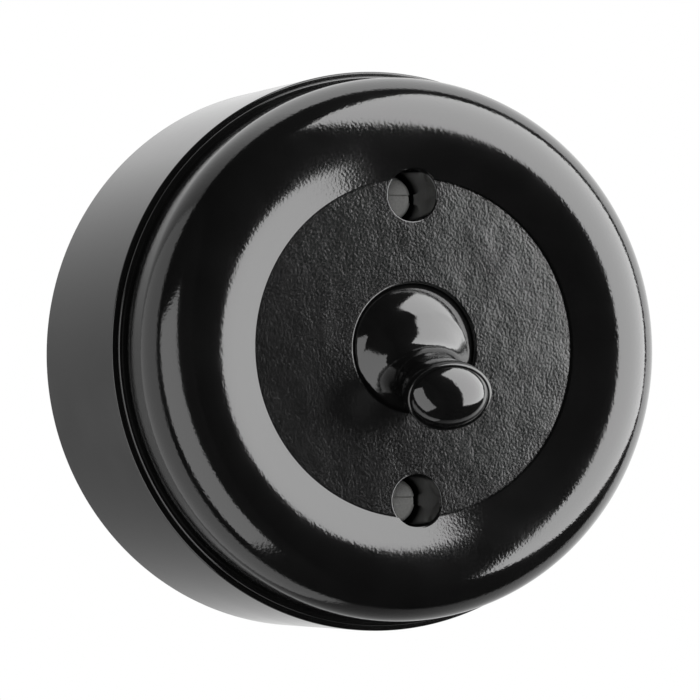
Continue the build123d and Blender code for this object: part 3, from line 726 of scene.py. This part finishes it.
def bearing_slots(along):
    """Cutters for the two slots behind the ball, where the bearing ears swing, and for the pin's bore."""
    # In millimetres: place along the lever and half height of a slot's front and back, place of its middle
    # and its half width across the lever, and the bore
    front = (2.7, 1.82)
    back = (-13, 8.16)
    aside, half_width = 4, 0.9
    bore_radius, bore_length = 1.3, 32
    up = Vector((0, along.z, -along.y))
    made = []
    for side in (1, -1):
        bpy.ops.object.select_all(action="DESELECT")
        bpy.ops.mesh.primitive_cube_add(size=1)
        wedge = bpy.context.object
        bpy.ops.object.mode_set(mode="EDIT")
        mesh = bmesh.from_edit_mesh(wedge.data)
        for vertex in mesh.verts:
            place, reach = front if vertex.co.y < 0 else back
            x = side * (aside + half_width * (1 if vertex.co.x > 0 else -1)) * MM
            height = up * (reach * MM) * (1 if vertex.co.z > 0 else -1)
            spot = LEVER_PIVOT + along * (place * MM) + height
            vertex.co = Vector((x, spot.y, spot.z))
        mesh.normal_update()
        bmesh.update_edit_mesh(wedge.data)
        bpy.ops.mesh.select_all(action="SELECT")
        bpy.ops.mesh.normals_make_consistent(inside=False)
        bpy.ops.object.mode_set(mode="OBJECT")
        made.append(wedge)
    bpy.ops.mesh.primitive_cylinder_add(
        vertices=48,
        radius=bore_radius * MM,
        depth=bore_length * MM,
        location=LEVER_PIVOT,
        rotation=(0, pi / 2, 0),
    )
    bpy.ops.object.transform_apply(location=True, rotation=True, scale=True)
    made.append(bpy.context.object)
    return made


def resin_tint(context, tree, wear):
    """Black of the moulded resin, a little paler where its gloss is duller."""
    finish = context.scene.switch_finish
    return mix_colours(tree, wear, [*finish.moulding, 1], [*finish.moulding_worn, 1])


def moulded_drum(context):
    """Phenolic resin, pressed in a polished steel mould: deep black, smooth, with sharp but slightly soft
    reflections and faint cloudiness in the gloss."""
    material, tree, place = new_material("moulded_phenolic_drum")
    cloud = noise(tree, place, width=9, detail=3)
    tint = resin_tint(context, tree, cloud)
    gloss = remap(tree, cloud, (0.3, 0.7), (0.09, 0.13))
    ripple = noise(tree, place, width=2.2, detail=2)
    bump = bumps(tree, ripple, strength=0.06, depth=0.05)
    return close_material(material, Base_Color=tint, Roughness=gloss, IOR=RESIN_IOR, Normal=bump)


def moulded_cover(context):
    """The same resin, but the ring has a fine orange peel that frays its reflections, and the recessed
    face has a fine leathery grain that only gives a dull sheen."""
    crease = context.scene.switch_cover.crease
    fade = 0.3 * MM
    material, tree, place = new_material("moulded_phenolic_cover")
    spread = add_node(tree, "ShaderNodeVectorMath", {"operation": "MULTIPLY"}, i0=place, i1=(1, 0, 1))
    radius = add_node(tree, "ShaderNodeVectorMath", {"operation": "LENGTH"}, i0=spread.outputs[0])
    on_face = remap(tree, radius.outputs["Value"], (crease - fade, crease), (1.0, 0.0))
    cloud = noise(tree, place, width=7, detail=3)
    tint = resin_tint(context, tree, cloud)
    grain = noise(tree, place, width=0.38, detail=2)
    ring_gloss = remap(tree, cloud, (0.3, 0.7), (0.08, 0.12))
    face_gloss = remap(tree, grain, (0.3, 0.7), (0.13, 0.19))
    gloss = mix_values(tree, on_face, ring_gloss, face_gloss)
    peel = noise(tree, place, width=0.4, detail=1)
    height = mix_values(tree, on_face, peel, grain)
    strength = remap(tree, on_face, onto=(0.24, 0.5))
    wave = noise(tree, place, width=5, detail=3)
    dents = bumps(tree, wave, strength=on_face, depth=0.08)
    bump = bumps(tree, height, strength=strength, depth=0.05, Normal=dents)
    return close_material(material, Base_Color=tint, Roughness=gloss, IOR=RESIN_IOR, Normal=bump)


def moulded_lever(context):
    """The same resin, buffed after moulding: the glossiest piece, with small clean highlights and faint
    handling marks that change the gloss and, very slightly, the black."""
    material, tree, place = new_material("polished_phenolic_lever")
    marks = noise(tree, place, width=3, detail=4)
    tint = resin_tint(context, tree, marks)
    gloss = remap(tree, marks, (0.35, 0.7), (0.07, 0.12))
    ripple = noise(tree, place, width=0.5, detail=2)
    bump = bumps(tree, ripple, strength=0.22, depth=0.05)
    return close_material(material, Base_Color=tint, Roughness=gloss, IOR=RESIN_IOR, Normal=bump)


def metal(name, light, dark, grain_mm, rough, bright=1.0):
    """A plated or rolled metal: two tones in a grain of that width, and a roughness that follows it. Dull
    plating is less than fully bright."""
    material, tree, place = new_material(name)
    grain = noise(tree, place, width=grain_mm, detail=4)
    tint = mix_colours(tree, grain, linear(dark), linear(light))
    gloss = remap(tree, grain, (0.3, 0.7), (rough * 0.75, rough * 1.25))
    bump = bumps(tree, grain, strength=0.1, depth=0.03)
    return close_material(material, Base_Color=tint, Metallic=bright, Roughness=gloss, Normal=bump)


def glazed_porcelain(context):
    """Electrical porcelain, pressed dry and glazed: warm white with fine grey specks under a clear glaze."""
    finish = context.scene.switch_finish
    material, tree, place = new_material("glazed_porcelain")
    speck = noise(tree, place, width=0.6, detail=2)
    spots = remap(tree, speck, (0.66, 0.74), (0.0, 0.35))
    tint = mix_colours(tree, spots, [*finish.porcelain, 1], linear("#8f897c"))
    flow = noise(tree, place, width=5, detail=2)
    gloss = remap(tree, flow, onto=(0.14, 0.26))
    bump = bumps(tree, flow, strength=0.15, depth=0.1)
    return close_material(material, Base_Color=tint, Roughness=gloss, IOR=GLAZE_IOR, Normal=bump)


def pressed_rocker():
    """Brown phenolic resin with wood flour, pressed and left as it came: mottled and half matt."""
    material, tree, place = new_material("brown_phenolic_rocker")
    mottle = noise(tree, place, width=1.5, detail=5)
    tint = mix_colours(tree, mottle, linear("#241309"), linear("#4d2b15"))
    gloss = remap(tree, mottle, onto=(0.3, 0.5))
    return close_material(material, Base_Color=tint, Roughness=gloss, IOR=RESIN_IOR)


class SWITCH_OT_insert(bpy.types.Operator):
    """Give the screws and the pieces of the switch insert their finishes"""

    bl_idname = "switch.insert"
    bl_label = "Insert and screws"

    def execute(self, context):
        # Nickel plate over turned brass is bright and a little warm, and duller on the cover's screws. Zinc
        # plate is grey, and the contact rivets are soft white silver.
        nickel = metal("nickel_plated_brass", "#d8d3c8", "#b4afa5", grain_mm=0.5, rough=0.22)
        dull_nickel = metal("dull_nickel_plate", "#eeeeec", "#b9b9b6", grain_mm=0.3, rough=0.45, bright=0.65)
        zinc = metal("zinc_plated_steel", "#c3c6c9", "#8f9498", grain_mm=0.9, rough=0.38)
        steel = metal("ground_steel", "#c9cacb", "#a2a4a6", grain_mm=0.3, rough=0.25)
        brass = metal("turned_brass", "#d7b56b", "#b48f46", grain_mm=0.6, rough=0.28)
        copper = metal("rolled_copper", "#cf8a63", "#a8623f", grain_mm=0.8, rough=0.32)
        silver = metal("silver_rivet", "#eceae5", "#cfccc5", grain_mm=0.3, rough=0.3)
        finishes = {
            "insert_screws": nickel,
            "terminal_screws": nickel,
            "cover_screws": dull_nickel,
            "bearing_bracket": zinc,
            "support_ring": zinc,
            "lever_pin": steel,
            "rocker_pin": steel,
            "lever_plunger": steel,
            "housing_inserts": brass,
            "cover_bushes": brass,
            "bracket_rivets": brass,
            "ring_rivets": brass,
            "upper_terminal": brass,
            "lower_terminal": brass,
            "common_terminal": brass,
            "contact_bridge": copper,
            "upper_contact": copper,
            "lower_contact": copper,
            "common_contact": copper,
            "bridge_tips": silver,
            "fixed_tips": silver,
            "porcelain_base": glazed_porcelain(context),
            "rocker": pressed_rocker(),
        }
        for node, material in finishes.items():
            mesh = frame["nodes"][node].data
            mesh.materials.clear()
            mesh.materials.append(material)
        return {"FINISHED"}


class SWITCH_OT_stage(bpy.types.Operator):
    """Set up the floor, the soft studio light and the camera"""

    bl_idname = "switch.stage"
    bl_label = "Stage"

    def execute(self, context):
        stage = context.scene.switch_stage
        make_floor(stage)
        make_room(context.scene, stage)
        make_lights(context.scene, stage)
        make_camera(context.scene)
        context.scene.view_settings.view_transform = "Standard"
        return {"FINISHED"}


def make_floor(stage):
    """A plain pale floor, well under the switch as under a wall switch."""
    bpy.ops.object.select_all(action="DESELECT")
    bpy.ops.mesh.primitive_plane_add(size=stage.floor_span, location=(0, 0, -stage.floor))
    floor = bpy.context.object
    floor.name = "pale_floor"
    material, tree, place = new_material("pale_floor_paint")
    cloud = noise(tree, place, width=120, detail=2)
    tint = mix_colours(tree, cloud, linear("#f1f1ef"), linear("#f6f6f5"))
    seen = add_node(tree, "ShaderNodeLightPath").outputs["Is Camera Ray"]
    glow = maths(tree, "MULTIPLY", seen, stage.floor_glow)
    white = linear("#ffffff")
    close_material(
        material, Base_Color=tint, Roughness=0.8, Emission_Color=white, Emission_Strength=glow
    )
    floor.data.materials.append(material)
    floor.visible_glossy = False


def make_room(scene, stage):
    """A dim studio with a pale wall behind the switch; the camera sees white."""
    world = bpy.data.worlds.new("studio")
    world.use_nodes = True
    scene.world = world
    tree = world.node_tree
    tree.nodes.clear()
    way = add_node(tree, "ShaderNodeTexCoord").outputs["Generated"]
    depth = add_node(tree, "ShaderNodeSeparateXYZ", Vector=way).outputs["Y"]
    # The wall behind is paler towards the upper right, by a steady factor for each step, up to a limit
    paler_way = (1.91, 0, 1.57)
    limit_level, limit_slope = 3.1, -2.0
    growth = maths(tree, "EXPONENT", dot(tree, way, paler_way))
    pale = maths(tree, "MULTIPLY", growth, stage.room)
    limit = maths(tree, "MULTIPLY_ADD", depth, limit_slope, limit_level)
    right = maths(tree, "MINIMUM", pale, limit)
    # On the left it starts low down with a soft edge, and is paler towards the front
    low_left = (-1, 0, -0.45)
    soft_edge = (0.34, 0.4)
    front_level, front_slope = 1.35, -0.63
    start = remap(tree, dot(tree, way, low_left), soft_edge, ease="SMOOTHSTEP")
    front = maths(tree, "MULTIPLY_ADD", depth, front_slope, front_level)
    left = maths(tree, "MULTIPLY", start, front)
    # It ends a little behind the switch, and the rest of the room is almost dark
    wall_edge = (0.17, 0.23)
    dark = 0.02
    on_wall = remap(tree, depth, wall_edge, (dark, 1.0))
    wall = maths(tree, "MULTIPLY", maths(tree, "MAXIMUM", right, left), on_wall)
    room = add_node(tree, "ShaderNodeBackground", Strength=wall)
    white = add_node(tree, "ShaderNodeBackground", Color=(1, 1, 1, 1), Strength=1.0)
    seen = add_node(tree, "ShaderNodeLightPath").outputs["Is Camera Ray"]
    mixed = add_node(tree, "ShaderNodeMixShader", i0=seen, i1=room.outputs[0], i2=white.outputs[0])
    add_node(tree, "ShaderNodeOutputWorld", Surface=mixed.outputs[0])


def softbox(scene, name, brightness, size, far, facing, upright, aim=(0, 0, 0), raised=0.0, aside=0.0):
    """An area lamp with its size in metres, square-on to the spot it aims at: how far it is, the way to it,
    what is upright on it, and how far it is raised and put aside as shares of that distance."""
    facing = Vector(facing).normalized()
    wide = Vector(upright).cross(facing).normalized()
    tall = facing.cross(wide)
    middle = Vector(aim) + (facing + tall * raised + wide * aside) * far
    data = bpy.data.lights.new(name, "AREA")
    data.shape = "RECTANGLE"
    data.size, data.size_y = size
    data.energy = brightness * pi * size[0] * size[1]
    lamp = bpy.data.objects.new(name, data)
    scene.collection.objects.link(lamp)
    turn = Matrix((wide, tall, wide.cross(tall))).transposed().to_4x4()
    lamp.matrix_world = Matrix.Translation(middle) @ turn
    lamp.visible_camera = False
    return lamp


def make_lights(scene, stage):
    """The large softbox high on the right, a weak strip low on the left, and from the front a fill that
    reaches into the screw holes and is hidden from reflections."""
    softbox(
        scene,
        "large_softbox",
        stage.softbox,
        size=(0.885, 1.56),
        far=0.5,
        facing=(0.592, -0.799, 0.097),
        upright=(-0.303, -0.110, 0.9466),
        aim=(0.005, -0.046, 0.005),
        raised=0.6,
        aside=0.685,
    )
    softbox(
        scene,
        "left_strip",
        stage.fill,
        size=(0.3375, 0.765),
        far=0.45,
        facing=(-0.797, -0.430, -0.383),
        upright=(-0.466, 0.0775, 0.881),
        aim=(-0.028, -0.045, -0.020),
        raised=0.05,
        aside=-0.075,
    )
    fill = softbox(
        scene,
        "front_fill",
        stage.front,
        size=(0.2, 0.2),
        far=0.7,
        facing=(-0.3, -0.95, 0.08),
        upright=(0, 0, 1),
    )
    fill.visible_glossy = False


def make_camera(scene):
    """The camera at the picture's place, nearly level and with a slight roll."""
    azimuth, elevation, roll = radians(-20.577), radians(-1.439), radians(-0.848)
    distance = 675.43 * MM
    middle = OUT * (20 * MM)
    shift_right, shift_up = 0.067 * MM, 0.466 * MM
    right = Vector((cos(azimuth), sin(azimuth), 0))
    back = Vector((sin(azimuth) * cos(elevation), -cos(azimuth) * cos(elevation), sin(elevation)))
    up = back.cross(right)
    right, up = right * cos(roll) + up * sin(roll), up * cos(roll) - right * sin(roll)
    target = middle + right * shift_right + up * shift_up
    data = bpy.data.cameras.new("camera")
    data.sensor_width = 36
    data.lens = 232.98
    camera = bpy.data.objects.new("camera", data)
    scene.collection.objects.link(camera)
    turn = Matrix((right, up, back)).transposed().to_4x4()
    camera.matrix_world = Matrix.Translation(target + back * distance) @ turn
    scene.camera = camera


class SWITCH_PT_panel(bpy.types.Panel):
    """Sizes, colours and steps of the toggle switch"""

    bl_idname = "SWITCH_PT_panel"
    bl_label = "Toggle switch"
    bl_space_type = "VIEW_3D"
    bl_region_type = "UI"
    bl_category = "Toggle switch"

    def draw(self, context):
        for step in STEPS:
            self.layout.operator(step.bl_idname)
        for name in GROUPS:
            group = getattr(context.scene, name)
            box = self.layout.box()
            for key in group.__annotations__:
                box.prop(group, key)


STEPS = (
    SWITCH_OT_stage,
    SWITCH_OT_drum,
    SWITCH_OT_cover,
    SWITCH_OT_lever,
    SWITCH_OT_spring,
    SWITCH_OT_insert,
)
GROUPS = {
    "switch_drum": SwitchDrum,
    "switch_cover": SwitchCover,
    "switch_lever": SwitchLever,
    "switch_spring": SwitchSpring,
    "switch_finish": SwitchFinish,
    "switch_stage": SwitchStage,
}


def register():
    for group in GROUPS.values():
        bpy.utils.register_class(group)
    for step in STEPS + (SWITCH_PT_panel,):
        bpy.utils.register_class(step)
    for name, group in GROUPS.items():
        setattr(bpy.types.Scene, name, bpy.props.PointerProperty(type=group))


def unregister():
    for name in GROUPS:
        delattr(bpy.types.Scene, name)
    for step in STEPS + (SWITCH_PT_panel,):
        bpy.utils.unregister_class(step)
    for group in GROUPS.values():
        bpy.utils.unregister_class(group)


def main():
    register()
    bpy.ops.switch.stage()
    bpy.ops.switch.drum()
    bpy.ops.switch.cover()
    bpy.ops.switch.lever()
    bpy.ops.switch.spring()
    bpy.ops.switch.insert()


if __name__ == "__main__":
    main()
